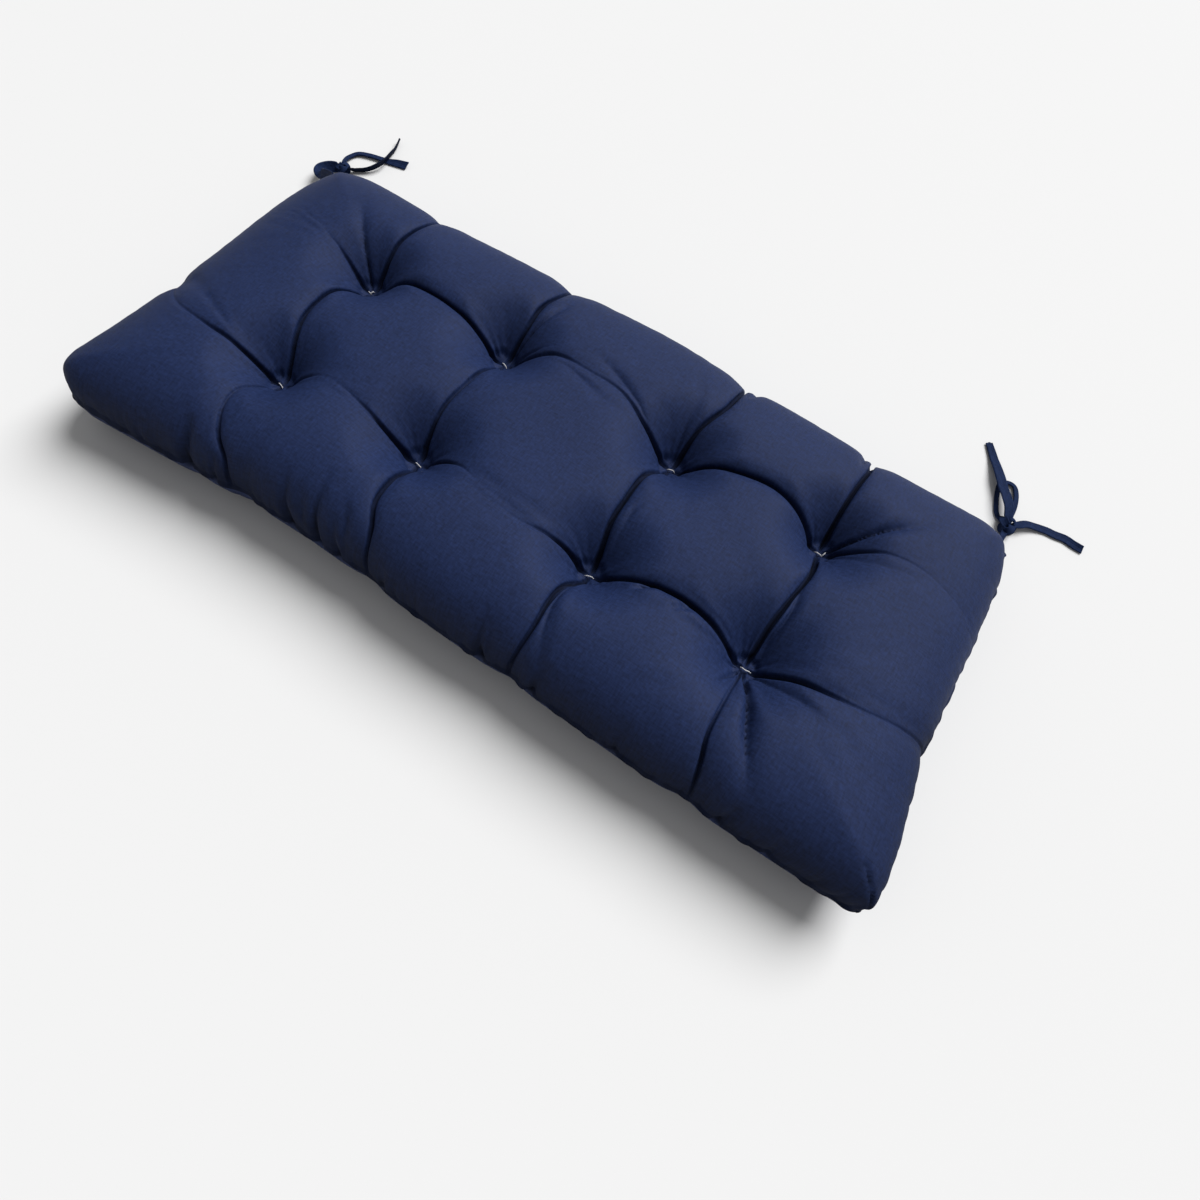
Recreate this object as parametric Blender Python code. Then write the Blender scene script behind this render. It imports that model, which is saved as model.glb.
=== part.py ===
# A tufted bench cushion with a knotted cloth tie at each back corner, lying on its back.
# Metres, +Z up. X runs along the length, +Y is the back edge, and z = 0 is the surface it lies on.

import math
from collections import namedtuple

import bpy
from mathutils import Vector

# Cushion
LENGTH = 1.067
DEPTH = 0.483
CROWN_HEIGHT = 0.127  # top of the fullest lobes
SEAM_HEIGHT = 0.052  # where the upper and lower panels are sewn together
TUFT_HEIGHT = 0.068  # upper cloth at the bottom of a tuft
UNDER_TUFT_HEIGHT = 0.019  # lower cloth at the top of its tuft
UNDER_SAG = 0.074  # how far the lower panel would bulge below the seam if nothing held it up
END_FULLNESS = 9.0  # exponents of the crown: high means flat in the middle and steep at the seam
FRONT_FULLNESS = 5.0
CORNER_BOXING = 0.7  # 0 is a corner that tapers like a pillow's, 1 a corner with a sewn mitre

# Tufts and the valleys that run out from them
TUFT_FLAT = 0.008  # half width of the flat cloth under a stitch
TUFT_REACH = 0.098
TUFT_CURVE = 0.62
VALLEY_CURVE = 0.85
BLEND_POWER = 3.0
WARP_REACH = 0.060
UNDER_VALLEY_SHARE = 0.8

# Panel mesh: cells between its lines
CELLS_AT_ENDS = 10
CELLS_BETWEEN_COLUMNS = 8
CELLS_AT_EDGES = 9
CELLS_BETWEEN_ROWS = 8
EDGE_EASING = 0.65

# Stitches
STITCH_LENGTH = 0.011
STITCH_RADIUS = 0.0008
STITCH_ARCH = 0.0006

# Ties
TIE_RADIUS = 0.003
STRAP_RADIUS = 0.0032
POINT_SPACING = 2.3  # distance between points of a tie, in its diameters
KNOT_SEGMENTS = 14
KNOT_RINGS = 9

GAP = 0.0003  # clearance between pieces that touch

Tuft = namedtuple("Tuft", "x y stitch_turn")
TUFTS = {
    "back_1": Tuft(-0.327, 0.087, 20),
    "back_2": Tuft(-0.125, 0.094, -20),
    "back_3": Tuft(0.123, 0.084, 15),
    "back_4": Tuft(0.324, 0.089, 25),
    "front_1": Tuft(-0.316, -0.091, -15),
    "front_2": Tuft(-0.119, -0.085, -15),
    "front_3": Tuft(0.121, -0.091, 15),
    "front_4": Tuft(0.319, -0.087, 0),
}
TUFT_COLUMNS = (-0.322, -0.122, 0.122, 0.322)
TUFT_ROWS = (-0.088, 0.088)

# A valley runs from a tuft to another tuft, or to a point near the seam. A depth of 1 is as low as
# a tuft, and 0 is none.
Valley = namedtuple("Valley", "start end depth_start depth_end width")
VALLEYS = (
    Valley("back_1", "back_2", 0.95, 0.95, 0.050),
    Valley("back_2", "back_3", 0.90, 0.90, 0.050),
    Valley("back_3", "back_4", 0.95, 0.95, 0.050),
    Valley("front_1", "front_2", 0.85, 0.85, 0.045),
    Valley("front_2", "front_3", 0.80, 0.80, 0.045),
    Valley("front_3", "front_4", 0.95, 0.95, 0.050),
    Valley("back_1", "front_1", 0.90, 0.90, 0.050),
    Valley("back_2", "front_2", 0.85, 0.85, 0.045),
    Valley("back_3", "front_3", 0.85, 0.85, 0.045),
    Valley("back_4", "front_4", 0.85, 0.85, 0.045),
    Valley("front_1", (-0.515, -0.060), 0.90, 0.45, 0.042),
    Valley("front_4", (0.515, -0.062), 0.85, 0.35, 0.042),
    Valley("back_1", (-0.440, 0.115), 0.70, 0.10, 0.045),
    Valley("back_1", (-0.425, 0.190), 0.80, 0.15, 0.040),
    Valley("back_1", (-0.318, 0.225), 0.85, 0.50, 0.038),
    Valley("back_2", (-0.110, 0.230), 0.85, 0.60, 0.040),
    Valley("back_3", (0.145, 0.228), 0.85, 0.60, 0.040),
    Valley("back_4", (0.324, 0.226), 0.85, 0.55, 0.038),
    Valley("back_4", (0.430, 0.186), 0.85, 0.20, 0.036),
    Valley("back_4", (0.500, 0.092), 0.70, 0.20, 0.042),
    Valley("front_1", (-0.258, -0.232), 0.80, 0.55, 0.038),
    Valley("front_2", (-0.086, -0.226), 0.85, 0.60, 0.038),
    Valley("front_3", (0.112, -0.232), 0.85, 0.55, 0.038),
    Valley("front_4", (0.330, -0.236), 0.80, 0.55, 0.036),
    Valley("front_4", (0.378, -0.215), 0.85, 0.20, 0.034),
)

# Where the seam is drawn inwards: along is the place on that edge, inward how far it moves, and
# reach over what half width.
PullIn = namedtuple("PullIn", "edge along inward reach")
PULL_INS = (
    PullIn("front", -0.190, 0.019, 0.190),
    PullIn("front", 0.110, 0.006, 0.150),
    PullIn("front", -0.330, 0.002, 0.014),
    PullIn("front", -0.258, 0.005, 0.020),
    PullIn("front", -0.084, 0.005, 0.020),
    PullIn("front", 0.112, 0.004, 0.020),
    PullIn("front", 0.334, 0.005, 0.020),
    PullIn("back", -0.320, 0.009, 0.120),
    PullIn("back", -0.318, 0.005, 0.020),
    PullIn("back", -0.112, 0.008, 0.024),
    PullIn("back", 0.145, 0.008, 0.024),
    PullIn("back", 0.326, 0.006, 0.022),
    PullIn("back", 0.360, 0.006, 0.100),
    PullIn("left", 0.030, 0.010, 0.160),
    PullIn("left", 0.200, 0.009, 0.090),
    PullIn("left", -0.057, 0.007, 0.018),
    PullIn("right", 0.030, 0.010, 0.160),
    PullIn("right", 0.200, 0.010, 0.090),
    PullIn("right", -0.062, 0.005, 0.018),
)

# The radius of each corner in plan: the front right one keeps its point.
Corner = namedtuple("Corner", "side_x side_y radius")
CORNERS = (
    Corner(-1, -1, 0.055),
    Corner(1, -1, 0.008),
    Corner(-1, 1, 0.085),
    Corner(1, 1, 0.068),
)

# Ties: each route runs along the middle of its strand. Its start and end name what it meets there,
# a seam corner or a knot, and a free end names nothing.
Route = namedtuple("Route", "start points end radius")
Knot = namedtuple("Knot", "centre half_sizes turn")
KNOTS = {
    "tie_left_knot": Knot((-0.560, 0.295, 0.0070), (0.0090, 0.0075, 0.0066), 40),
    "tie_right_knot": Knot((0.511, 0.312, 0.0072), (0.0085, 0.0080, 0.0066), 60),
}
SEAM_CORNERS = {"left_corner": -1, "right_corner": 1}
TIE_ROUTES = {
    "tie_left_strap": Route(
        "left_corner",
        ((-0.507, 0.224, 0.0510), (-0.519, 0.235, 0.0470), (-0.536, 0.243, 0.0380),
         (-0.556, 0.250, 0.0260), (-0.574, 0.261, 0.0150), (-0.581, 0.274, 0.0085),
         (-0.575, 0.286, 0.0070)),
        "tie_left_knot", STRAP_RADIUS,
    ),
    "tie_left_tail_under": Route(
        "tie_left_knot",
        ((-0.567, 0.307, 0.0080), (-0.571, 0.321, 0.0050), (-0.566, 0.336, 0.0034),
         (-0.551, 0.344, 0.0034), (-0.533, 0.349, 0.0034), (-0.515, 0.354, 0.0034),
         (-0.493, 0.360, 0.0034)),
        None, TIE_RADIUS,
    ),
    "tie_left_tail_over": Route(
        "tie_left_knot",
        ((-0.550, 0.301, 0.0070), (-0.542, 0.307, 0.0056), (-0.530, 0.318, 0.0074),
         (-0.522, 0.332, 0.0104), (-0.521, 0.345, 0.0106), (-0.525, 0.363, 0.0084),
         (-0.531, 0.383, 0.0040), (-0.537, 0.397, 0.0034)),
        None, TIE_RADIUS,
    ),
    "tie_right_strap": Route(
        "right_corner",
        ((0.513, 0.230, 0.0505), (0.518, 0.240, 0.0420), (0.514, 0.254, 0.0290),
         (0.512, 0.268, 0.0180), (0.511, 0.283, 0.0110), (0.511, 0.294, 0.0086)),
        "tie_right_knot", STRAP_RADIUS,
    ),
    "tie_right_loop": Route(
        "tie_right_knot",
        ((0.511, 0.339, 0.0036), (0.510, 0.354, 0.0034), (0.506, 0.370, 0.0034),
         (0.499, 0.382, 0.0034), (0.489, 0.383, 0.0034), (0.481, 0.374, 0.0034),
         (0.482, 0.361, 0.0034), (0.487, 0.343, 0.0034), (0.495, 0.326, 0.0036)),
        "tie_right_knot", TIE_RADIUS,
    ),
    "tie_right_tail_back": Route(
        "tie_right_knot",
        ((0.506, 0.324, 0.0140), (0.501, 0.337, 0.0165), (0.493, 0.352, 0.0145),
         (0.484, 0.366, 0.0118), (0.475, 0.381, 0.0106), (0.466, 0.397, 0.0070),
         (0.456, 0.413, 0.0034), (0.443, 0.431, 0.0034)),
        None, TIE_RADIUS,
    ),
    "tie_right_tail_side": Route(
        "tie_right_knot",
        ((0.520, 0.320, 0.0105), (0.531, 0.331, 0.0092), (0.543, 0.338, 0.0054),
         (0.558, 0.343, 0.0034), (0.570, 0.344, 0.0034), (0.584, 0.346, 0.0034),
         (0.596, 0.344, 0.0034), (0.609, 0.343, 0.0034)),
        None, TIE_RADIUS,
    ),
}

NAVY = (0.022, 0.032, 0.092, 1.0)
DARK_NAVY = (0.017, 0.024, 0.070, 1.0)
THREAD_GREY = (0.42, 0.43, 0.46, 1.0)


def clear_scene():
    for item in list(bpy.data.objects):
        bpy.data.objects.remove(item, do_unlink=True)


def material(name, colour, roughness):
    made = bpy.data.materials.new(name)
    made.use_nodes = True
    shader = made.node_tree.nodes["Principled BSDF"]
    shader.inputs["Base Color"].default_value = colour
    shader.inputs["Roughness"].default_value = roughness
    shader.inputs["Metallic"].default_value = 0.0
    return made


def add_object(name, data, finish):
    made = bpy.data.objects.new(name, data)
    bpy.context.collection.objects.link(made)
    data.materials.append(finish)
    return made


def mix(a, b, share):
    return a + (b - a) * share


def place_of(end):
    """The plan position of a valley's end: a tuft's name, or a point."""
    if isinstance(end, str):
        return TUFTS[end].x, TUFTS[end].y
    return end


def crown(x, y):
    """How full the filling is at a place: 0 on the seam and 1 in the middle."""
    along = math.sqrt(max(0.0, 1.0 - abs(2 * x / LENGTH) ** END_FULLNESS))
    across = math.sqrt(max(0.0, 1.0 - abs(2 * y / DEPTH) ** FRONT_FULLNESS))
    larger = max(along, across)
    if larger == 0.0:
        return 0.0
    return along * across / larger ** CORNER_BOXING


def tuft_pull(x, y, tuft):
    """How far one tuft pulls the cloth down at a place: 1 at the stitch and 0 past its reach."""
    off_flat = max(0.0, math.hypot(x - tuft.x, y - tuft.y) - TUFT_FLAT * math.sqrt(2))
    return max(0.0, 1.0 - (off_flat / TUFT_REACH) ** TUFT_CURVE)


def valley_pull(x, y, valley):
    """How far one valley pulls the cloth down at a place."""
    start_x, start_y = place_of(valley.start)
    end_x, end_y = place_of(valley.end)
    run_x, run_y = end_x - start_x, end_y - start_y
    share = ((x - start_x) * run_x + (y - start_y) * run_y) / (run_x ** 2 + run_y ** 2)
    share = min(1.0, max(0.0, share))
    off = math.hypot(x - start_x - share * run_x, y - start_y - share * run_y)
    depth = mix(valley.depth_start, valley.depth_end, share)
    return depth * max(0.0, 1.0 - (off / valley.width) ** VALLEY_CURVE)


def lowering(x, y, valley_share):
    """Tufts and valleys together, blended so that they don't add up past a tuft's own depth."""
    pulls = [tuft_pull(x, y, tuft) for tuft in TUFTS.values()]
    pulls += [valley_share * valley_pull(x, y, valley) for valley in VALLEYS]
    total = sum(pull ** BLEND_POWER for pull in pulls) ** (1 / BLEND_POWER)
    return min(1.0, total)


def upper_height(x, y):
    tuft_share = 1.0 - (TUFT_HEIGHT - SEAM_HEIGHT) / (CROWN_HEIGHT - SEAM_HEIGHT)
    rise = (CROWN_HEIGHT - SEAM_HEIGHT) * crown(x, y)
    return SEAM_HEIGHT + rise * (1.0 - tuft_share * lowering(x, y, 1.0))


def lower_height(x, y):
    """The lower panel, pressed flat where it would sag below the surface it lies on."""
    tuft_share = 1.0 - (SEAM_HEIGHT - UNDER_TUFT_HEIGHT) / UNDER_SAG
    sag = UNDER_SAG * crown(x, y)
    return max(0.0, SEAM_HEIGHT - sag * (1.0 - tuft_share * lowering(x, y, UNDER_VALLEY_SHARE)))


def warped(x, y):
    """Mesh lines bent so that each tuft's crossing lies on the tuft itself."""
    shift_x, shift_y = 0.0, 0.0
    for tuft in TUFTS.values():
        column = min(TUFT_COLUMNS, key=lambda line: abs(line - tuft.x))
        row = min(TUFT_ROWS, key=lambda line: abs(line - tuft.y))
        off_line = max(0.0, math.hypot(x - column, y - row) - TUFT_FLAT * math.sqrt(2))
        weight = math.exp(-((off_line / WARP_REACH) ** 2))
        shift_x += weight * (tuft.x - column)
        shift_y += weight * (tuft.y - row)
    return x + shift_x, y + shift_y


def rounded_off(x, y):
    """A place near a corner, moved so that the square corner becomes a quarter circle."""
    for corner in CORNERS:
        centre_x = corner.side_x * (LENGTH / 2 - corner.radius)
        centre_y = corner.side_y * (DEPTH / 2 - corner.radius)
        off_x = corner.side_x * (x - centre_x) / corner.radius
        off_y = corner.side_y * (y - centre_y) / corner.radius
        if off_x > 0 and off_y > 0:
            x = centre_x + (x - centre_x) * math.sqrt(1 - off_y ** 2 / 2)
            y = centre_y + (y - centre_y) * math.sqrt(1 - off_x ** 2 / 2)
    return x, y


def drawn_in(x, y):
    """A place moved inwards where the seam is pulled in, after its corners are rounded off."""
    x, y = rounded_off(x, y)
    along, across = 2 * x / LENGTH, 2 * y / DEPTH
    edges = {
        "front": (x, max(0.0, -across), 0, 1),
        "back": (x, max(0.0, across), 0, -1),
        "left": (y, max(0.0, -along), 1, 0),
        "right": (y, max(0.0, along), -1, 0),
    }
    for pull in PULL_INS:
        place, nearness, toward_x, toward_y = edges[pull.edge]
        amount = pull.inward * nearness ** 3 * math.exp(-(((place - pull.along) / pull.reach) ** 2))
        x += toward_x * amount
        y += toward_y * amount
    return x, y


def eased(share):
    """Spacing that gets closer towards the seam, where the cloth turns over."""
    return mix(share, 1.0 - math.cos(share * math.pi / 2), EDGE_EASING)


def mesh_lines(half, tuft_lines, cells_at_edge, cells_between):
    """Places of the mesh's lines along one direction, with three lines through each tuft."""
    lines = [-half + eased(i / cells_at_edge) * (half + tuft_lines[0] - TUFT_FLAT)
             for i in range(cells_at_edge)]
    for index, line in enumerate(tuft_lines):
        lines += [line - TUFT_FLAT, line, line + TUFT_FLAT]
        if index + 1 < len(tuft_lines):
            gap = tuft_lines[index + 1] - line - 2 * TUFT_FLAT
            lines += [line + TUFT_FLAT + gap * i / cells_between for i in range(1, cells_between)]
    first_free = half - tuft_lines[-1] - TUFT_FLAT
    lines += [half - eased(i / cells_at_edge) * first_free for i in reversed(range(cells_at_edge))]
    return lines


def make_cushion():
    """One closed solid: the upper and lower panels share the ring of points along the seam."""
    columns = mesh_lines(LENGTH / 2, TUFT_COLUMNS, CELLS_AT_ENDS, CELLS_BETWEEN_COLUMNS)
    rows = mesh_lines(DEPTH / 2, TUFT_ROWS, CELLS_AT_EDGES, CELLS_BETWEEN_ROWS)
    last_column, last_row = len(columns) - 1, len(rows) - 1
    points, upper, lower = [], {}, {}
    for i, column in enumerate(columns):
        for j, row in enumerate(rows):
            x, y = warped(column, row)
            plan_x, plan_y = drawn_in(x, y)
            upper[i, j] = lower[i, j] = len(points)
            if i in (0, last_column) or j in (0, last_row):
                points.append((plan_x, plan_y, SEAM_HEIGHT))
                continue
            points.append((plan_x, plan_y, upper_height(x, y)))
            lower[i, j] = len(points)
            points.append((plan_x, plan_y, lower_height(x, y)))
    faces = []
    for i in range(last_column):
        for j in range(last_row):
            ring = ((i, j), (i + 1, j), (i + 1, j + 1), (i, j + 1))
            faces.append([upper[corner] for corner in ring])
            faces.append([lower[corner] for corner in reversed(ring)])
    mesh = bpy.data.meshes.new("cushion")
    mesh.from_pydata(points, [], faces)
    mesh.validate()
    mesh.shade_smooth()
    return add_object("cushion", mesh, material("navy cloth", NAVY, 0.75))


def smooth_route(points, spacing):
    """Points at an even spacing along a smooth curve through the given ones."""
    ends = [points[0] * 2 - points[1]] + points + [points[-1] * 2 - points[-2]]
    fine = []
    for before, start, end, after in zip(ends, ends[1:], ends[2:], ends[3:]):
        for step in range(20):
            t = step / 20
            fine.append(0.5 * (
                2 * start + (end - before) * t
                + (2 * before - 5 * start + 4 * end - after) * t ** 2
                + (3 * start - before - 3 * end + after) * t ** 3))
    fine.append(points[-1])
    runs = [0.0]
    for a, b in zip(fine, fine[1:]):
        runs.append(runs[-1] + (b - a).length)
    count = max(2, round(runs[-1] / spacing))
    even, at = [], 0
    for step in range(count + 1):
        target = runs[-1] * step / count
        while at < len(runs) - 2 and runs[at + 1] < target:
            at += 1
        share = (target - runs[at]) / (runs[at + 1] - runs[at])
        even.append(fine[at].lerp(fine[at + 1], share))
    return even


def make_strand(name, points, radius, bevel_resolution, finish):
    """A plain round strand with closed ends."""
    curve = bpy.data.curves.new(name, "CURVE")
    curve.dimensions = "3D"
    curve.bevel_depth = radius
    curve.bevel_resolution = bevel_resolution
    curve.use_fill_caps = True
    spline = curve.splines.new("POLY")
    spline.points.add(len(points) - 1)
    for target, point in zip(spline.points, points):
        target.co = (*point, 1.0)
    spline.use_smooth = True
    return add_object(name, curve, finish)


def make_stitch(name, tuft, finish):
    """A thread bar that lies across the flat bottom of its tuft."""
    turn = math.radians(tuft.stitch_turn)
    half = Vector((math.cos(turn), math.sin(turn), 0.0)) * STITCH_LENGTH / 2
    middle = Vector((tuft.x, tuft.y, TUFT_HEIGHT + STITCH_RADIUS + GAP))
    arch = Vector((0.0, 0.0, STITCH_ARCH))
    return make_strand(name, [middle - half, middle + arch, middle + half], STITCH_RADIUS, 2, finish)


def make_knot(name, knot, finish):
    """The closed lump of a tightened knot."""
    mesh = bpy.data.meshes.new(name)
    turn = math.radians(knot.turn)
    points = [(0.0, 0.0, -1.0)]
    for ring in range(1, KNOT_RINGS):
        polar = math.pi * ring / KNOT_RINGS
        for segment in range(KNOT_SEGMENTS):
            around = 2 * math.pi * segment / KNOT_SEGMENTS
            points.append((math.sin(polar) * math.cos(around), math.sin(polar) * math.sin(around),
                           -math.cos(polar)))
    points.append((0.0, 0.0, 1.0))
    top = len(points) - 1
    faces = []
    for segment in range(KNOT_SEGMENTS):
        following = (segment + 1) % KNOT_SEGMENTS
        faces.append((0, 1 + following, 1 + segment))
        last_ring = 1 + (KNOT_RINGS - 2) * KNOT_SEGMENTS
        faces.append((top, last_ring + segment, last_ring + following))
        for ring in range(KNOT_RINGS - 2):
            low = 1 + ring * KNOT_SEGMENTS
            high = low + KNOT_SEGMENTS
            faces.append((low + segment, low + following, high + following, high + segment))
    placed = []
    for point in points:
        x, y, z = (size * part for size, part in zip(knot.half_sizes, point))
        turned = Vector((x * math.cos(turn) - y * math.sin(turn),
                         x * math.sin(turn) + y * math.cos(turn), z))
        placed.append(turned)
    mesh.from_pydata(placed, [], faces)
    mesh.validate()
    mesh.shade_smooth()
    made = add_object(name, mesh, finish)
    made.location = knot.centre
    return made


def meeting_point(name, toward):
    """Where a strand that runs toward a place meets its seam corner or its knot, a gap away."""
    if name in SEAM_CORNERS:
        side = SEAM_CORNERS[name]
        corner = Vector((*drawn_in(side * LENGTH / 2, DEPTH / 2), SEAM_HEIGHT))
        return corner + (toward - corner).normalized() * GAP
    knot = KNOTS[name]
    centre = Vector(knot.centre)
    direction = (toward - centre).normalized()
    turn = math.radians(knot.turn)
    in_knot = (
        direction.x * math.cos(turn) + direction.y * math.sin(turn),
        direction.y * math.cos(turn) - direction.x * math.sin(turn),
        direction.z,
    )
    out_to_skin = 1 / math.sqrt(sum((part / size) ** 2 for part, size in zip(in_knot, knot.half_sizes)))
    return centre + direction * (out_to_skin + GAP)


def make_ties():
    finish = material("navy tie cloth", DARK_NAVY, 0.7)
    for name, knot in KNOTS.items():
        make_knot(name, knot, finish)
    for name, route in TIE_ROUTES.items():
        points = [Vector(point) for point in route.points]
        points.insert(0, meeting_point(route.start, points[0]))
        if route.end:
            points.append(meeting_point(route.end, points[-1]))
        spaced = smooth_route(points, POINT_SPACING * 2 * route.radius)
        make_strand(name, spaced, route.radius, 2, finish)


clear_scene()
make_cushion()
thread = material("thread", THREAD_GREY, 0.6)
for tuft_name, tuft_place in TUFTS.items():
    make_stitch("stitch_" + tuft_name, tuft_place, thread)
make_ties()
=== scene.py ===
import math

import bpy
import numpy as np
from mathutils import Matrix, Vector


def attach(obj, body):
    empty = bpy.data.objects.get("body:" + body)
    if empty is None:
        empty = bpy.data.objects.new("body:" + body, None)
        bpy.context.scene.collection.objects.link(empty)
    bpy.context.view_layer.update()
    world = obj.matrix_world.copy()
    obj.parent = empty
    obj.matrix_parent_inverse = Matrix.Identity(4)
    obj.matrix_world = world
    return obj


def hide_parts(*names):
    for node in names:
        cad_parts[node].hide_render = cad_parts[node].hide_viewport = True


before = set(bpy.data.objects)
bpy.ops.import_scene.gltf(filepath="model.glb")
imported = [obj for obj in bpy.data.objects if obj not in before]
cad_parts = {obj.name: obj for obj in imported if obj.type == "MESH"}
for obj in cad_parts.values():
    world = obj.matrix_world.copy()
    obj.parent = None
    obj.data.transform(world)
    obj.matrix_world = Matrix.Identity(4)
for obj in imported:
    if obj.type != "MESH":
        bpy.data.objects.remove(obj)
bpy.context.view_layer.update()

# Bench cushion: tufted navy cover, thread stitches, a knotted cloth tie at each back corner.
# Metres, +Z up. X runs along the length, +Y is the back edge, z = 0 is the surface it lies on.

mm = 0.001
print("cushion scene: frame loaded,", len(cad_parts), "nodes")


# Helpers

def mathPair(operation):
    # an operator that adds a Math node, and its reflected form
    def plain(link, other):
        return link.finish.node("ShaderNodeMath", {"operation": operation}, {0: link, 1: other})

    def reflected(link, other):
        return link.finish.node("ShaderNodeMath", {"operation": operation}, {0: other, 1: link})

    return plain, reflected


class Link:
    # a shader socket that can be used in an expression

    def __init__(self, finish, socket):
        self.finish = finish
        self.socket = socket

    __add__, __radd__ = mathPair("ADD")
    __sub__, __rsub__ = mathPair("SUBTRACT")
    __mul__, __rmul__ = mathPair("MULTIPLY")


class Finish:
    # a material in the making, with its one shader

    def __init__(self, name, colour, roughness, gloss=0.5):
        self.material = bpy.data.materials.new(name)
        self.material.use_nodes = True
        self.tree = self.material.node_tree
        self.shader = self.tree.nodes["Principled BSDF"]
        self.shader.inputs["Base Color"].default_value = (*colour, 1)
        self.shader.inputs["Roughness"].default_value = roughness
        self.shader.inputs["Specular IOR Level"].default_value = gloss

    def node(self, kind, settings, sockets, out=0):
        made = self.tree.nodes.new(kind)
        for name, value in settings.items():
            setattr(made, name, value)
        for name, value in sockets.items():
            if isinstance(value, Link):
                self.tree.links.new(value.socket, made.inputs[name])
            else:
                made.inputs[name].default_value = value
        return Link(self, made.outputs[out])

    def feed(self, socket, link):
        self.tree.links.new(link.socket, self.shader.inputs[socket])

    def blend(self, share, first, second):
        # two colours mixed by a share
        return self.node("ShaderNodeMix", {"data_type": "RGBA"}, {0: share, 6: first, 7: second}, 2)


def addMesh(name, points, faces, finish):
    mesh = bpy.data.meshes.new(name)
    mesh.from_pydata(np.asarray(points).tolist(), [], [list(face) for face in faces])
    mesh.validate()
    mesh.shade_smooth()
    mesh.materials.append(finish.material)
    piece = bpy.data.objects.new(name, mesh)
    bpy.context.collection.objects.link(piece)
    return piece


def gridFaces(index):
    # the squares between the lines of a grid of point numbers
    return np.stack([index[:-1, :-1], index[1:, :-1], index[1:, 1:], index[:-1, 1:]], -1).reshape(-1, 4)


def tubeFaces(rings, sides, first=0, turned=False):
    # the squares round a tube and a cap on each end; turned for rings that run the other way round
    faces = []
    last = first + (rings - 1) * sides
    for low in range(first, last, sides):
        for k in range(sides):
            following = (k + 1) % sides
            faces.append((low + k, low + sides + k, low + sides + following, low + following))
    faces.append(tuple(range(first, first + sides)))
    faces.append(tuple(reversed(range(last, last + sides))))
    return [(face[0], *reversed(face[1:])) for face in faces] if turned else faces


def unit(vectors):
    return vectors / np.maximum(np.linalg.norm(vectors, axis=-1, keepdims=True), 1e-12)


def fading(off, reach):
    # 1 where off is 0, evenly down towards 0 past the reach
    return np.exp(-((off / reach) ** 2))


def smoothRoute(points, spacing, measured=3):
    # evenly spaced points along a smooth curve through the given ones; the spacing is measured in
    # the first columns, and any others follow them
    stepsPerSpan = 20
    points = np.asarray(points, float)
    ends = np.vstack([2 * points[0] - points[1], points, 2 * points[-1] - points[-2]])
    t = np.linspace(0, 1, stepsPerSpan + 1)[:-1, None]
    fine = []
    for before, start, end, after in zip(ends, ends[1:], ends[2:], ends[3:]):
        fine.append(0.5 * (2 * start + (end - before) * t
                           + (2 * before - 5 * start + 4 * end - after) * t ** 2
                           + (3 * start - before - 3 * end + after) * t ** 3))
    fine = np.vstack([*fine, points[-1:]])
    steps = np.linalg.norm(np.diff(fine[:, :measured], axis=0), axis=1)
    runs = np.concatenate([[0], np.cumsum(steps)])
    count = max(2, round(runs[-1] / spacing))
    even = np.linspace(0, runs[-1], count + 1)
    return np.stack([np.interp(even, runs, fine[:, k]) for k in range(fine.shape[1])], axis=1)


# Camera, at the photograph's angle to the cushion

cameraSetup = {
    "place": (0.2921, -0.4856, 0.9064),
    "aim": (0.1444, -0.1035, 0.058),
    "rollDeg": 12.73,
    "lensMm": 25.5,
    "sensorMm": 36,
    "nearest": 0.01,
}


def makeCamera():
    place = Vector(cameraSetup["place"])
    back = (place - Vector(cameraSetup["aim"])).normalized()
    level = Vector((0, 0, 1)).cross(back).normalized()
    turned = Matrix((level, back.cross(level), back)).transposed().to_4x4()
    roll = Matrix.Rotation(math.radians(cameraSetup["rollDeg"]), 4, "Z")
    lens = bpy.data.cameras.new("camera")
    lens.sensor_width = cameraSetup["sensorMm"]
    lens.lens = cameraSetup["lensMm"]
    lens.clip_start = cameraSetup["nearest"]
    camera = bpy.data.objects.new("camera", lens)
    bpy.context.collection.objects.link(camera)
    camera.matrix_world = Matrix.Translation(place) @ turned @ roll
    bpy.context.scene.camera = camera


makeCamera()
print("camera placed")


# The cushion's plan: its outline, tufts and the places where the seam is drawn in

cover = {
    "length": 1.067,
    "depth": 0.483,
    "crownHeight": 0.127,
    "seamHeight": 0.052,
    "tuftHeight": 0.068,
    "underTuftHeight": 0.019,
    "underSag": 0.074,
    "endFullness": 9.0,
    "frontFullness": 5.0,
    "cornerBoxing": 0.7,
    "tuftFlat": 0.019,
    "bulgeNearCorner": (2.5, 1.6),  # how soon a bulge is full on the ends, and on the front and back
}

tufts = {
    "back1": (-0.327, 0.087),
    "back2": (-0.125, 0.094),
    "back3": (0.123, 0.084),
    "back4": (0.324, 0.089),
    "front1": (-0.316, -0.091),
    "front2": (-0.119, -0.085),
    "front3": (0.121, -0.091),
    "front4": (0.319, -0.087),
}

# lines of the even grid, which is bent until they cross on the tufts
tuftColumns = (-0.322, -0.122, 0.122, 0.322)
tuftRows = (-0.088, 0.088)

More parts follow.
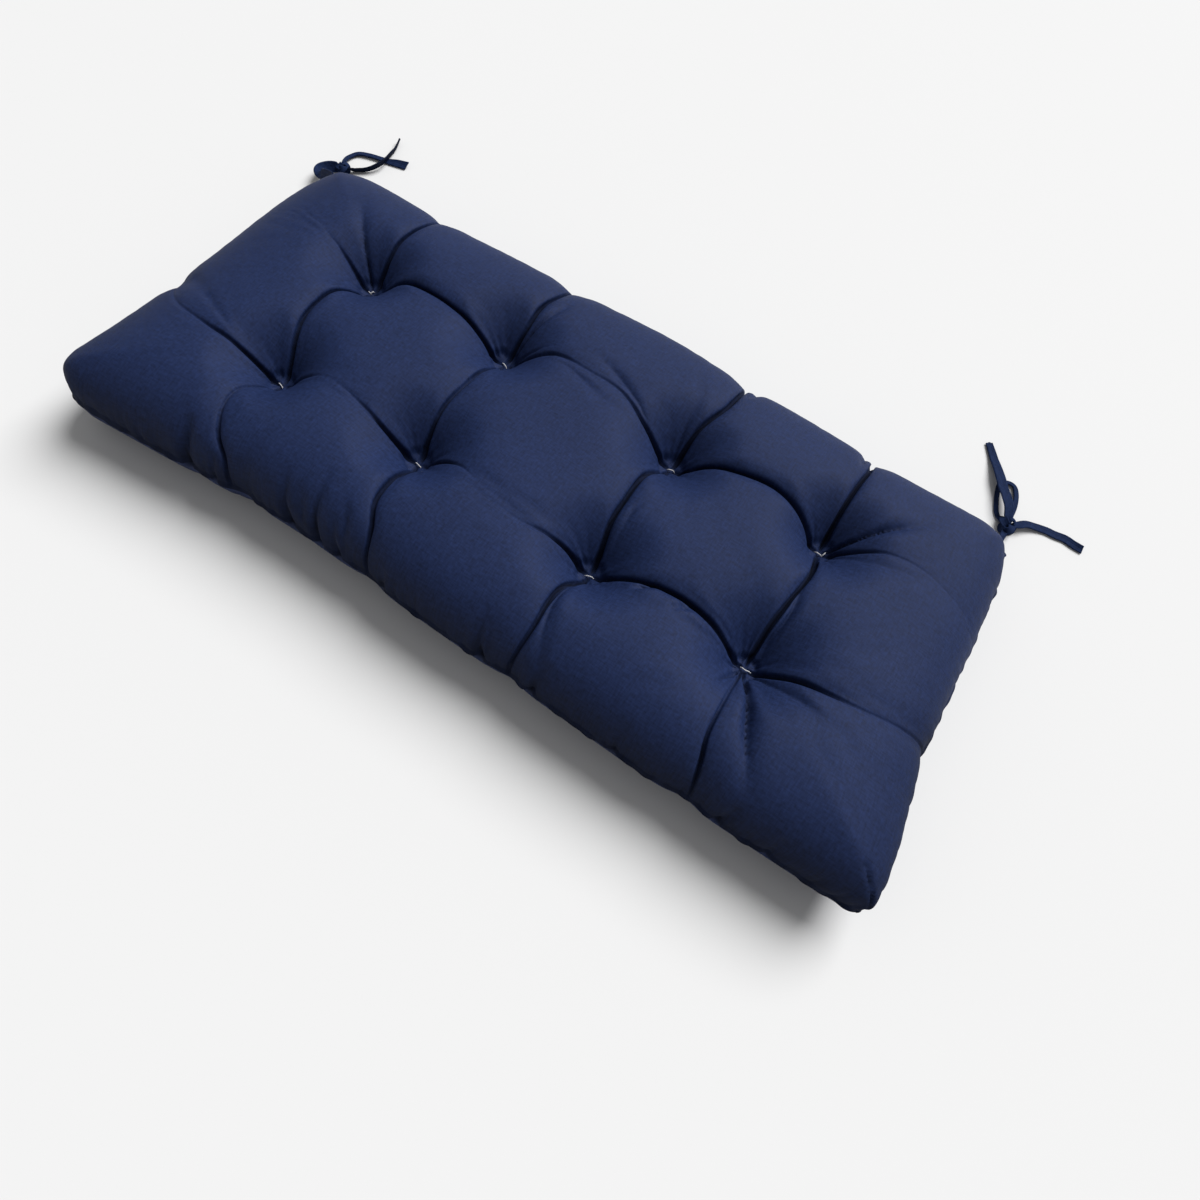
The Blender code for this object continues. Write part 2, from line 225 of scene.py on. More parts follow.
# The valleys that run through the tufts, one for each column and row. Each point is a tuft, or x
# and y in plan (mm), depth (1 is a tuft's, 0 none), width of the valley's side (mm) and firmness of
# its crease. The last two are valleySide's where they are left out.
valleySide = (52, 1.0)
columnValleys = (
    ((-276, -242, 0.48, 24), (-284, -223, 0.48, 26), (-302, -203, 0.44, 30, 0.9),
     (-319, -168, 0.42, 36, 0.6), (-323, -132, 0.50, 45, 0.5), "front1", (-327, -45, 0.64),
     (-336, -5, 0.55), (-337, 42, 0.64), "back1", (-324, 131, 0.60, 48), (-321, 169, 0.46, 40),
     (-318, 202, 0.42, 30), (-319, 242, 0.42, 26)),
    ((-84, -242, 0.46, 26), (-92, -207, 0.46, 32), (-106, -175, 0.48, 42), (-111, -139, 0.64, 50),
     "front2", (-123, -45, 0.60, 52, 0.9), (-123, -12, 0.48, 52, 0.8), (-121, 22, 0.48, 52, 0.8),
     (-122, 61, 0.64, 52, 0.9), "back2", (-119, 136, 0.62, 50), (-119, 169, 0.50, 42),
     (-114, 202, 0.46, 32), (-112, 242, 0.46, 26)),
    ((110, -242, 0.46, 26), (113, -197, 0.44, 32), (111, -166, 0.48, 42), (112, -133, 0.62, 50),
     "front3", (112, -41, 0.64), (111, -11, 0.55), (110, 23, 0.55), (113, 49, 0.66), "back3",
     (128, 125, 0.66, 50), (137, 152, 0.54, 44), (143, 179, 0.50, 36), (145, 242, 0.50, 26)),
    ((336, -242, 0.48, 24), (326, -213, 0.46, 28), (318, -187, 0.42, 32, 0.9),
     (316, -144, 0.42, 40, 0.5), (317, -115, 0.60, 50, 0.6), "front4", (318, -45, 0.62),
     (322, -11, 0.52), (328, 33, 0.60), "back4", (321, 128, 0.64, 50), (322, 164, 0.52, 42),
     (325, 200, 0.48, 30), (326, 242, 0.48, 26)),
)
rowValleys = (
    ((-534, -56, 0.32, 16, 0.9), (-519, -59, 0.28, 16, 0.9), (-495, -76, 0.22, 16, 0.9),
     (-466, -91, 0.22, 18, 0.9), (-415, -98, 0.28, 26), (-362, -96, 0.48, 38), "front1",
     (-282, -79, 0.50, 55, 0.5), (-247, -75, 0.26, 46, 0.1), (-210, -80, 0.26, 46, 0.4),
     (-160, -87, 0.54, 58), "front2", (-84, -80, 0.52, 50, 0.8), (-53, -83, 0.30, 42, 0.4),
     (-20, -95, 0.16, 40, 0.0), (28, -105, 0.20, 40, 0.3), (63, -97, 0.36, 46, 0.8),
     (90, -91, 0.58, 54), "front3", (156, -87, 0.76), (179, -83, 0.64), (201, -78, 0.58),
     (229, -76, 0.58), (262, -79, 0.62), (294, -84, 0.78), "front4", (365, -85, 0.56, 50),
     (409, -83, 0.38, 44, 0.9), (445, -79, 0.28, 40, 0.6), (480, -71, 0.26, 34, 0.6),
     (520, -62, 0.30, 26, 0.9), (534, -60, 0.30, 24, 0.9)),
    ((-534, 110, 0.0, 30, 0.0), (-440, 103, 0.06, 34, 0.0), (-385, 95, 0.30, 40, 0.4), "back1",
     (-282, 98, 0.70), (-248, 100, 0.58), (-196, 97, 0.56), (-158, 94, 0.70), "back2",
     (-62, 112, 0.40, 50, 0.8), (-15, 110, 0.25, 46, 0.6), (31, 108, 0.28, 46, 0.7),
     (74, 93, 0.48, 52, 0.9), "back3", (160, 92, 0.76), (197, 99, 0.62), (231, 104, 0.58),
     (256, 103, 0.60), (289, 97, 0.76), "back4", (385, 101, 0.34, 42, 0.6), (432, 104, 0.20, 36, 0.5),
     (470, 98, 0.18, 32, 0.5), (515, 89, 0.15, 28, 0.5), (534, 86, 0.15, 26, 0.5)),
)

# edge, place along it, how far inwards, over what half width
pullIns = (
    ("front", -0.190, 0.019, 0.190),
    ("front", 0.110, 0.006, 0.150),
    ("front", -0.330, 0.002, 0.014),
    ("front", -0.258, 0.005, 0.020),
    ("front", -0.084, 0.005, 0.020),
    ("front", 0.112, 0.004, 0.020),
    ("front", 0.334, 0.005, 0.020),
    ("back", -0.320, 0.009, 0.120),
    ("back", -0.318, 0.005, 0.020),
    ("back", -0.112, 0.008, 0.024),
    ("back", 0.145, 0.008, 0.024),
    ("back", 0.326, 0.006, 0.022),
    ("back", 0.360, 0.006, 0.100),
    ("left", 0.030, 0.010, 0.160),
    ("left", 0.200, 0.009, 0.090),
    ("left", -0.057, 0.007, 0.018),
    ("right", 0.030, 0.010, 0.160),
    ("right", 0.200, 0.010, 0.090),
    ("right", -0.062, 0.005, 0.018),
)

# edge, place along it, over what half length, how far the filling bulges out over the seam
bulges = (
    ("left", 0.0, 0.300, -0.006),
    ("right", -0.200, 0.090, 0.016),
    ("front", 0.0, 0.900, 0.002),
    ("back", 0.0, 0.900, 0.007),
    ("back", 0.030, 0.080, 0.006),
)

# side along x, side along y, radius in plan
corners = (
    (-1, -1, 0.052),
    (1, -1, 0.008),
    (-1, 1, 0.085),
    (1, 1, 0.068),
)

# side along x, side along y, power on the fullness there (under 1 is fuller), reach
cornerFill = (
    (-1, -1, 0.62, 0.080),
    (-1, 1, 1.5, 0.080),
)

lineSpacing = 0.003  # between the points of a valley or fold
lineReach = 0.0016  # along a line to either side of each of its points


def arched(place, half, power):
    # the rise of a filled panel: 1 in its middle and 0 on its edges
    return np.sqrt(np.maximum(0, 1 - np.abs(place / half) ** power))


def bothArched(x, y):
    return (arched(x, cover["length"] / 2, cover["endFullness"]),
            arched(y, cover["depth"] / 2, cover["frontFullness"]))


def fromEdges(x, y):
    # how far a place is from the nearer end, and from the front or back
    return cover["length"] / 2 - np.abs(x), cover["depth"] / 2 - np.abs(y)


def fullness(x, y):
    # 0 on the seam and 1 in the middle of the cushion
    along, across = bothArched(x, y)
    larger = np.maximum(np.maximum(along, across), 1e-9)
    full = along * across / larger ** cover["cornerBoxing"]
    for sideX, sideY, power, reach in cornerFill:
        off = np.hypot(x - sideX * cover["length"] / 2, y - sideY * cover["depth"] / 2)
        full = full ** (1 + (power - 1) * fading(off, reach))
    return full


def valleyRoute(points, along):
    # a valley's points, close together and in order along x (0) or y (1)
    whole = []
    for point in points:
        if point in tufts:
            point = (*(round(part / mm) for part in tufts[point]), 1.0)
        whole.append((*point, *valleySide[len(point) - 3:]))
    route = smoothRoute(np.array(whole) * (mm, mm, 1, 1, 1), lineSpacing, 2)
    return route[np.argsort(route[:, along], kind="stable")]


def nearLine(values, lines, index):
    # 1 on a line of the square grid and 0 on the next lines and the edges
    half = cover["length"] / 2 if len(lines) > 2 else cover["depth"] / 2
    marks = [-half, *lines, half]
    share = np.interp(values, marks, [0.0] * (index + 1) + [1.0] + [0.0] * (len(lines) - index))
    return share * share * (3 - 2 * share)


def towardValleys(across, along, valleys, lines, axis):
    # moves the grid's lines across until they run along their valleys
    shift = np.zeros_like(across)
    for index, points in enumerate(valleys):
        route = valleyRoute(points, axis)
        offset = np.interp(along, route[:, axis], route[:, 1 - axis]) - lines[index]
        shift = shift + offset * nearLine(across, lines, index)
    return across + shift


def warped(x, y):
    # lines bent so that they cross on each tuft and run along the valleys
    return towardValleys(x, y, columnValleys, tuftColumns, 1), towardValleys(y, x, rowValleys, tuftRows, 0)


def drawnIn(x, y):
    # corners rounded off, then the seam pulled in along each edge
    for sideX, sideY, radius in corners:
        centreX = sideX * (cover["length"] / 2 - radius)
        centreY = sideY * (cover["depth"] / 2 - radius)
        offX, offY = sideX * (x - centreX) / radius, sideY * (y - centreY) / radius
        inCorner = (offX > 0) & (offY > 0)
        roundX = centreX + (x - centreX) * np.sqrt(np.maximum(0, 1 - offY ** 2 / 2))
        roundY = centreY + (y - centreY) * np.sqrt(np.maximum(0, 1 - offX ** 2 / 2))
        x, y = np.where(inCorner, roundX, x), np.where(inCorner, roundY, y)
    along, across = 2 * x / cover["length"], 2 * y / cover["depth"]
    edges = {
        "front": (x, np.maximum(0, -across), 0, 1),
        "back": (x, np.maximum(0, across), 0, -1),
        "left": (y, np.maximum(0, -along), 1, 0),
        "right": (y, np.maximum(0, along), -1, 0),
    }
    for edge, place, inward, reach in pullIns:
        runs, nearness, towardX, towardY = edges[edge]
        amount = inward * nearness ** 3 * fading(runs - place, reach)
        x = x + towardX * amount
        y = y + towardY * amount
    return x, y


def bulged(x, y, planX, planY):
    # the filling pushes the upper panel's walls out past the seam
    along, across = bothArched(x, y)
    endSoon, frontSoon = cover["bulgeNearCorner"]
    endShare = 4 * along * (1 - along) * np.minimum(1, endSoon * across)
    frontShare = 4 * across * (1 - across) * np.minimum(1, frontSoon * along)
    for end, middle, reach, out in bulges:
        outward = -1 if end in ("left", "front") else 1
        if end in ("left", "right"):
            planX = planX + outward * out * endShare * (outward * x > 0) * fading(y - middle, reach)
        else:
            planY = planY + outward * out * frontShare * (outward * y > 0) * fading(x - middle, reach)
    return planX, planY


def seamCorner(side):
    x, y = drawnIn(np.array(side * cover["length"] / 2), np.array(cover["depth"] / 2))
    return np.array([float(x), float(y), cover["seamHeight"]])


# Ties: flat strips of the same cloth, folded and stitched, sewn into the back corners

tieStrip = {
    "width": 0.0120,
    "thickness": 0.0018,
    "hem": 0.0005,  # how far the two stitched edges stand proud
    "fold": 0.0004,  # how far the strip is creased in along its middle
    "strandRadius": 0.003,  # of the plain strands that the strips stand for
    "spacing": 0.0016,
    "lowest": 0.0004,
    "clearance": 0.0006,
    "steep": 0.25,
}

knots = {
    "left": {"centre": (-0.560, 0.295, 0.0070), "halfSizes": (0.0090, 0.0075, 0.0066), "turnDeg": 40},
    "right": {"centre": (0.511, 0.315, 0.0085), "halfSizes": (0.0105, 0.0145, 0.0066), "turnDeg": 20},
}

strapRoutes = {
    "left": ((-0.507, 0.224, 0.0510), (-0.519, 0.235, 0.0470), (-0.536, 0.243, 0.0380),
             (-0.556, 0.250, 0.0260), (-0.574, 0.261, 0.0150), (-0.581, 0.274, 0.0085),
             (-0.575, 0.286, 0.0070)),
    "right": ((0.512, 0.230, 0.0505), (0.515, 0.240, 0.0420), (0.514, 0.254, 0.0290),
              (0.512, 0.268, 0.0180), (0.511, 0.283, 0.0110), (0.511, 0.294, 0.0086)),
}

# from the knot to a free end, or round the loop and back to the knot
tailRoutes = {
    "leftUnder": ((-0.567, 0.307, 0.0080), (-0.571, 0.321, 0.0050), (-0.566, 0.336, 0.0034),
                  (-0.551, 0.344, 0.0034), (-0.533, 0.349, 0.0034), (-0.515, 0.354, 0.0034),
                  (-0.493, 0.360, 0.0034)),
    "leftOver": ((-0.550, 0.301, 0.0070), (-0.542, 0.307, 0.0056), (-0.530, 0.318, 0.0074),
                 (-0.522, 0.332, 0.0104), (-0.521, 0.345, 0.0106), (-0.525, 0.363, 0.0084),
                 (-0.531, 0.383, 0.0040), (-0.537, 0.397, 0.0034)),
    "rightLoop": ((0.511, 0.339, 0.0036), (0.510, 0.354, 0.0034), (0.506, 0.370, 0.0034),
                  (0.499, 0.382, 0.0034), (0.489, 0.383, 0.0034), (0.481, 0.374, 0.0034),
                  (0.482, 0.361, 0.0034), (0.487, 0.343, 0.0034), (0.495, 0.326, 0.0036)),
    "rightBack": ((0.506, 0.324, 0.0140), (0.501, 0.337, 0.0165), (0.493, 0.352, 0.0145),
                  (0.484, 0.366, 0.0118), (0.475, 0.381, 0.0106), (0.466, 0.397, 0.0070),
                  (0.456, 0.413, 0.0034), (0.443, 0.431, 0.0034)),
    "rightSide": ((0.520, 0.320, 0.0105), (0.531, 0.331, 0.0092), (0.543, 0.338, 0.0054),
                  (0.558, 0.343, 0.0034), (0.570, 0.344, 0.0034), (0.584, 0.346, 0.0034),
                  (0.596, 0.344, 0.0034), (0.609, 0.343, 0.0034)),
}

# How each strip turns about its length and how wide it lies: share of the length, degrees, share of
# the full width. More than 0 degrees lifts the edge on its left.
stripTurns = {
    "leftTieLong": ((0, -40, 0.5), (0.10, -45, 0.95), (0.15, -52, 1.2), (0.24, -58, 1.3),
                    (0.31, -42, 1.3), (0.345, 0, 1.25), (0.385, 45, 1.25), (0.42, 50, 1.25),
                    (0.505, 50, 1.25), (0.53, 20, 0.6), (0.545, 0, 0.5), (0.60, -10, 0.6),
                    (0.72, -15, 0.8), (0.85, -12, 0.85), (0.94, 20, 1.0), (1, 28, 1.05)),
    "leftTieShort": ((0, -20, 0.5), (0.12, -60, 0.75), (0.40, -74, 0.8), (0.70, -72, 0.75), (1, -62, 0.6)),
    "rightTieLong": ((0, 80, 0.4), (0.15, 80, 0.5), (0.25, 50, 0.5), (0.38, 0, 0.7), (0.445, 0, 0.55),
                     (0.50, 0, 0.95), (0.58, 6, 1.25), (0.74, 10, 1.35), (0.88, 8, 1.15), (1, 0, 0.85)),
    "rightTieShort": ((0, 0, 0.5), (0.10, 10, 0.6), (0.22, 15, 0.66), (0.34, 30, 0.6), (0.46, 45, 0.5),
                      (0.56, 20, 0.5), (0.61, 0, 0.5), (0.66, -8, 0.95), (0.88, 0, 1.05), (1, 25, 0.9)),
}


def makeStripSection():
    # a rounded flat oblong, creased along its middle, with a slightly raised hem along both edges
    half, thick = tieStrip["width"] / 2, tieStrip["thickness"] / 2
    outline = []
    for share in (-0.90, -0.80, -0.68, -0.3, -0.12, 0.0, 0.12, 0.3, 0.68, 0.80, 0.90):
        rise = tieStrip["hem"] * (0.75 < abs(share) < 0.85) - tieStrip["fold"] * (abs(share) < 0.05)
        outline.append((share * half, thick + rise))
    outline.append((0.98 * half, 0.6 * thick))
    upper = outline + [(half, 0)]
    lower = [(x, -z) for x, z in reversed(outline)]
    return np.array(upper + lower + [(-half, 0)] + [(-0.98 * half, 0.6 * thick)])


def stripFrames(path, tilts, faceFrom=None):
    # the strip's width direction and its face direction at each point of its path
    tangent = unit(np.gradient(path, axis=0))
    upward = (0, 0, 1.0) if faceFrom is None else path - faceFrom
    side = np.cross(upward, tangent)
    long = np.linalg.norm(side, axis=1)
    # where the path is so steep that up says little, the strip keeps the direction it had
    for index in np.where(long < tieStrip["steep"] * long.max())[0]:
        side[index] = side[index - 1] if index else (1.0, 0, 0)
    side = unit(side - tangent * np.sum(side * tangent, axis=1)[:, None])
    for index in range(1, len(side)):
        if np.dot(side[index], side[index - 1]) < 0:
            side[index] *= -1
    face = np.cross(tangent, side)
    turn = np.radians(tilts)
    cos, sin = np.cos(turn)[:, None], np.sin(turn)[:, None]
    return side * cos + face * sin, face * cos - side * sin


def makeStrip(name, route, finish, turns, faceFrom=None, endCut=(0, 0)):
    path = smoothRoute(route, tieStrip["spacing"])
    section = makeStripSection()
    share = np.linspace(0, 1, len(path))
    tilts, spread = (np.interp(share, [turn[0] for turn in turns], [turn[k] for turn in turns])
                     for k in (1, 2))
    side, face = stripFrames(path, tilts, faceFrom)
    rings = (path[:, None] + side[:, None] * (section[:, 0, None] * spread[:, None, None])
             + face[:, None] * section[:, 1, None])
    # the end is cut a little askew
    along = unit(path[-1] - path[-2])
    rings[-1] += along * (endCut[0] * section[:, 0, None] + endCut[1] * np.abs(section[:, 0, None]))
    lift = np.maximum(0, tieStrip["lowest"] - rings[..., 2].min(axis=1))
    rings[..., 2] += lift[:, None]
    path[:, 2] += lift
    piece = addMesh(name, rings.reshape(-1, 3), tubeFaces(len(path), len(section)), finish)
    return piece, path


# the cover's cloth, the same cloth as ties, a darker copy of the tie cloth that is painted shade, and the
# near-black colour of the painted shade in creases, gathers and along the seam
clothLook = {
    "cover": (0.0104, 0.0208, 0.071),
    "tie": (0.0108, 0.0205, 0.060),
    "tieInShade": (0.0038, 0.0068, 0.019),
    "paintedShadeColour": (0.001, 0.0015, 0.004),
    "creaseShade": 0.92,
    "darkest": 0.55,  # of the colour, where the dye is uneven
    "lightest": 1.50,
    "gloss": 0.14,
    "tieGloss": 0.03,
    "roughness": 0.52,
    "threadPitch": 0.0006,
    "relief": 0.0003,
    "blotches": 9.0,  # to a metre
    "speckles": 260.0,
    "slubs": (70, 620),  # to a metre, along the threads and across them
}


def makeNavy(name, colour, gloss, attribute, shadeAttribute=None):
    # plain-woven cloth: fine crossed threads in the bump, a slight unevenness in the dye, and painted shade
    # from an attribute where one is given
    cloth = Finish(name, colour, 0.62, gloss)
    if attribute:
        place = cloth.node("ShaderNodeAttribute", {"attribute_name": attribute}, {}, 1)
    else:
        place = cloth.node("ShaderNodeTexCoord", {}, {}, 3)
    waves = []
    for direction in ("X", "Y"):
        waves.append(cloth.node("ShaderNodeTexWave", {"bands_direction": direction}, {
            "Vector": place, "Scale": 2 * math.pi / clothLook["threadPitch"] / 20, "Distortion": 0.6,
            "Detail": 1.0, "Detail Scale": 900.0}, 1))
    blotch, speckle = (
        cloth.node("ShaderNodeTexNoise", {}, {"Vector": place, "Scale": clothLook[size], "Detail": 3.0})
        for size in ("blotches", "speckles"))
    slubs = []
    along, across = clothLook["slubs"]
    for stretch in ((along, across, 1), (across, along, 1)):
        threads = cloth.node("ShaderNodeVectorMath", {"operation": "MULTIPLY"}, {0: place, 1: stretch})
        slubs.append(cloth.node("ShaderNodeTexNoise", {}, {"Vector": threads, "Scale": 1.0, "Detail": 2.0}))
    shade = 0.3 * blotch + 1.1 * speckle + 0.8 * slubs[0] + 0.8 * slubs[1] - 1.0
    darkest, lightest = (
        (*(clothLook[end] * part for part in colour), 1) for end in ("darkest", "lightest"))
    dye = cloth.blend(shade, darkest, lightest)
    rough = clothLook["roughness"] + 0.16 * speckle
    if shadeAttribute:
        # painted shade: the colour goes towards near black where the shade attribute is high, in the creases,
        # gathers and along the seam, and the cloth is rougher there so nothing glints
        depth = cloth.node("ShaderNodeAttribute", {"attribute_name": shadeAttribute}, {}, 2)
        dye = cloth.blend(depth * clothLook["creaseShade"], dye, (*clothLook["paintedShadeColour"], 1))
        rough = rough + 0.4 * depth
    cloth.feed("Base Color", dye)
    cloth.feed("Roughness", rough)
    cloth.feed("Normal", cloth.node("ShaderNodeBump", {}, {
        "Strength": 0.4, "Distance": clothLook["relief"], "Height": waves[0] * waves[1] + speckle}))
    return cloth


# the cover's painted shade comes from its creased attribute
navyCloth = makeNavy("navy woven cloth", clothLook["cover"], clothLook["gloss"], "clothPlace", "creased")
# the tie cloth, and a darker copy of it that is painted shade for the left short tie
tieCloth, tieClothShaded = (
    makeNavy(name, clothLook[face], clothLook["tieGloss"], None)
    for name, face in (("navy tie cloth", "tie"), ("navy tie cloth, painted shade", "tieInShade")))


def laidFlat(points):
    # the strip is thinner than the plain strand it stands for, so it lies lower
    lowest = tieStrip["thickness"] / 2 + tieStrip["clearance"]
    drop = tieStrip["strandRadius"] - tieStrip["thickness"] / 2 - tieStrip["clearance"]
    return [(x, y, max(lowest, z - drop)) for x, y, z in points]


knotWinding = {
    "steps": 60,
    "reach": 0.86,  # of the knot's half sizes
    "rise": 0.60,
    "faceDepth": 0.010,  # the strip faces away from a point this far under the knot's middle
    "turns": ((0, 0, 0.80), (0.25, 14, 0.95), (0.5, -10, 0.85), (0.75, 12, 0.95), (1, 0, 0.80)),
}


def makeKnot(name, setup, finish):
    # the strip wound once through itself and pulled tight, its face turned outwards
    across, along, up = setup["halfSizes"]
    reach, rise = knotWinding["reach"], knotWinding["rise"]
    turn = math.radians(setup["turnDeg"])
    cos, sin = math.cos(turn), math.sin(turn)
    route = []
    for step in range(knotWinding["steps"] + 1):
        t = 2 * math.pi * step / knotWinding["steps"]
        ring = (2 + math.cos(3 * t)) / 3
        x = reach * across * ring * math.cos(2 * t)
        y = reach * along * ring * math.sin(2 * t)
        z = rise * up * math.sin(3 * t)
        route.append((x * cos - y * sin, x * sin + y * cos, z))
    centre = np.array(setup["centre"])
    faceFrom = centre - (0, 0, knotWinding["faceDepth"])
    return makeStrip(name, np.array(route) + centre, finish, knotWinding["turns"], faceFrom)[0]


# side along x, tails of the long and the short strip, cut of the long one's end and the short
# one's cloth: the left one's is a darker copy of the tie cloth, painted shade
ties = {
    "left": (-1, "leftUnder", ("leftOver",), (0.25, 0), tieClothShaded),
    "right": (1, "rightBack", ("rightLoop", "rightSide"), (0, -0.45), tieCloth),
}


def makeTies():
    centre = {side: np.array(setup["centre"]) for side, setup in knots.items()}
    for side, (sideX, longTail, shortTails, endCut, shortCloth) in ties.items():
        corner = seamCorner(sideX)
        knotPiece = makeKnot(side + "TieKnot", knots[side], tieCloth)
        route = [corner, *strapRoutes[side], centre[side], *laidFlat(tailRoutes[longTail])]
        second = []
        for tail in shortTails:
            second += [centre[side], *laidFlat(tailRoutes[tail])]
        longName, shortName = side + "TieLong", side + "TieShort"
        strip, path = makeStrip(longName, route, tieCloth, stripTurns[longName], endCut=endCut)
        other, otherPath = makeStrip(shortName, second, shortCloth, stripTurns[shortName],
                                     endCut=(-0.2, 0))
        for piece in (strip, other, knotPiece):
            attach(piece, "root")
        prefix = "tie_" + side + "_"
        if side == "left":
            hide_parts(prefix + "strap", prefix + "tail_under")
            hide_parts(prefix + "tail_over")
        else:
            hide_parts(prefix + "strap", prefix + "tail_back")
            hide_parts(prefix + "loop", prefix + "tail_side")
        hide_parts(prefix + "knot")


makeTies()


# Tuft stitches: pale twisted thread, each run laid across its tuft and down into the cloth

thread = {
    "radius": 0.0008,
    "strandShare": 0.34,  # how deep the groove between its two strands is
    "twistPitch": 0.0034,
    "arch": 0.0009,
    "dive": 0.0022,
    "diveShare": 0.12,  # of the run, at each end
    "spacing": 0.0004,
    "sides": 12,
    "colour": (0.56, 0.56, 0.57),
    "shaded": (0.42, 0.42, 0.44),
    "lit": (0.70, 0.70, 0.70),
}

# plan points from the tuft's middle (mm), one list for each run of thread
stitches = {
    "back1": (((-4.0, -0.5), (0.9, -1.6)), ((0.9, -1.4), (2.0, 3.6))),
    "back2": (((-4.5, 1.6), (0.0, 0.3), (4.5, -1.6)),),
    "back3": (((-4.4, -1.6), (0.4, 0.1), (5.2, 1.2)),),
    "back4": (((-6.9, -1.0), (-2.2, -1.7), (2.3, -1.6)), ((2.3, -1.4), (3.6, 2.0), (4.1, 5.4))),
    "front1": (((-6.4, 1.7), (-1.6, 0.4), (3.6, -1.6)),),
    "front2": (((-5.2, 1.5), (0.0, 0.0), (5.2, -1.1)),),
    "front3": (((-5.4, -2.0), (0.0, -0.2), (4.9, 1.3)),),
    "front4": (((-6.0, -0.2), (0.2, -1.5), (6.4, 0.3)),),
}


def makeThread():
    cotton = Finish("pale thread", thread["colour"], 0.6)
    strands = cotton.node("ShaderNodeTexNoise", {}, {"Scale": 2500.0, "Detail": 2.0})
    cotton.feed("Base Color", cotton.blend(strands, (*thread["shaded"], 1), (*thread["lit"], 1)))
    cotton.feed("Roughness", 0.5 + 0.2 * strands)
    return cotton


def threadRings(path):
    # rings round a thread of two strands twisted together
    angle = np.arange(thread["sides"]) * 2 * np.pi / thread["sides"]
    tangent = unit(np.gradient(path, axis=0))
    side = unit(np.cross((0, 0, 1), tangent))
    face = np.cross(tangent, side)
    twist = 2 * np.pi * thread["spacing"] * np.arange(len(path)) / thread["twistPitch"]
    radius = thread["radius"] * (1 - thread["strandShare"] * np.abs(np.sin(angle - twist[:, None])))
    outward = np.cos(angle)[:, None] * side[:, None] + np.sin(angle)[:, None] * face[:, None]
    return path[:, None] + radius[..., None] * outward


def makeStitches(finish):
    for name, runs in stitches.items():
        points, faces = [], []
        for run in runs:
            plan = np.array(run, float) * mm + tufts[name]
            path = smoothRoute(np.column_stack([plan, np.zeros(len(plan))]), thread["spacing"])
            share = np.linspace(0, 1, len(path))
            sunk = fading(np.minimum(share, 1 - share), thread["diveShare"])
            path[:, 2] = (cover["tuftHeight"] + thread["radius"] + thread["arch"] * np.sin(np.pi * share)
                          - thread["dive"] * sunk)
            faces += tubeFaces(len(path), thread["sides"], len(points), True)
            points += list(threadRings(path).reshape(-1, 3))
        piece = addMesh(name + "Stitch", points, faces, finish)
        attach(piece, "root")
        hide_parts("stitch_" + name[:-1] + "_" + name[-1])
    print("stitches:", len(stitches))


makeStitches(makeThread())


# The cover's cloth: panels cut, tufted and filled, then run as a cloth

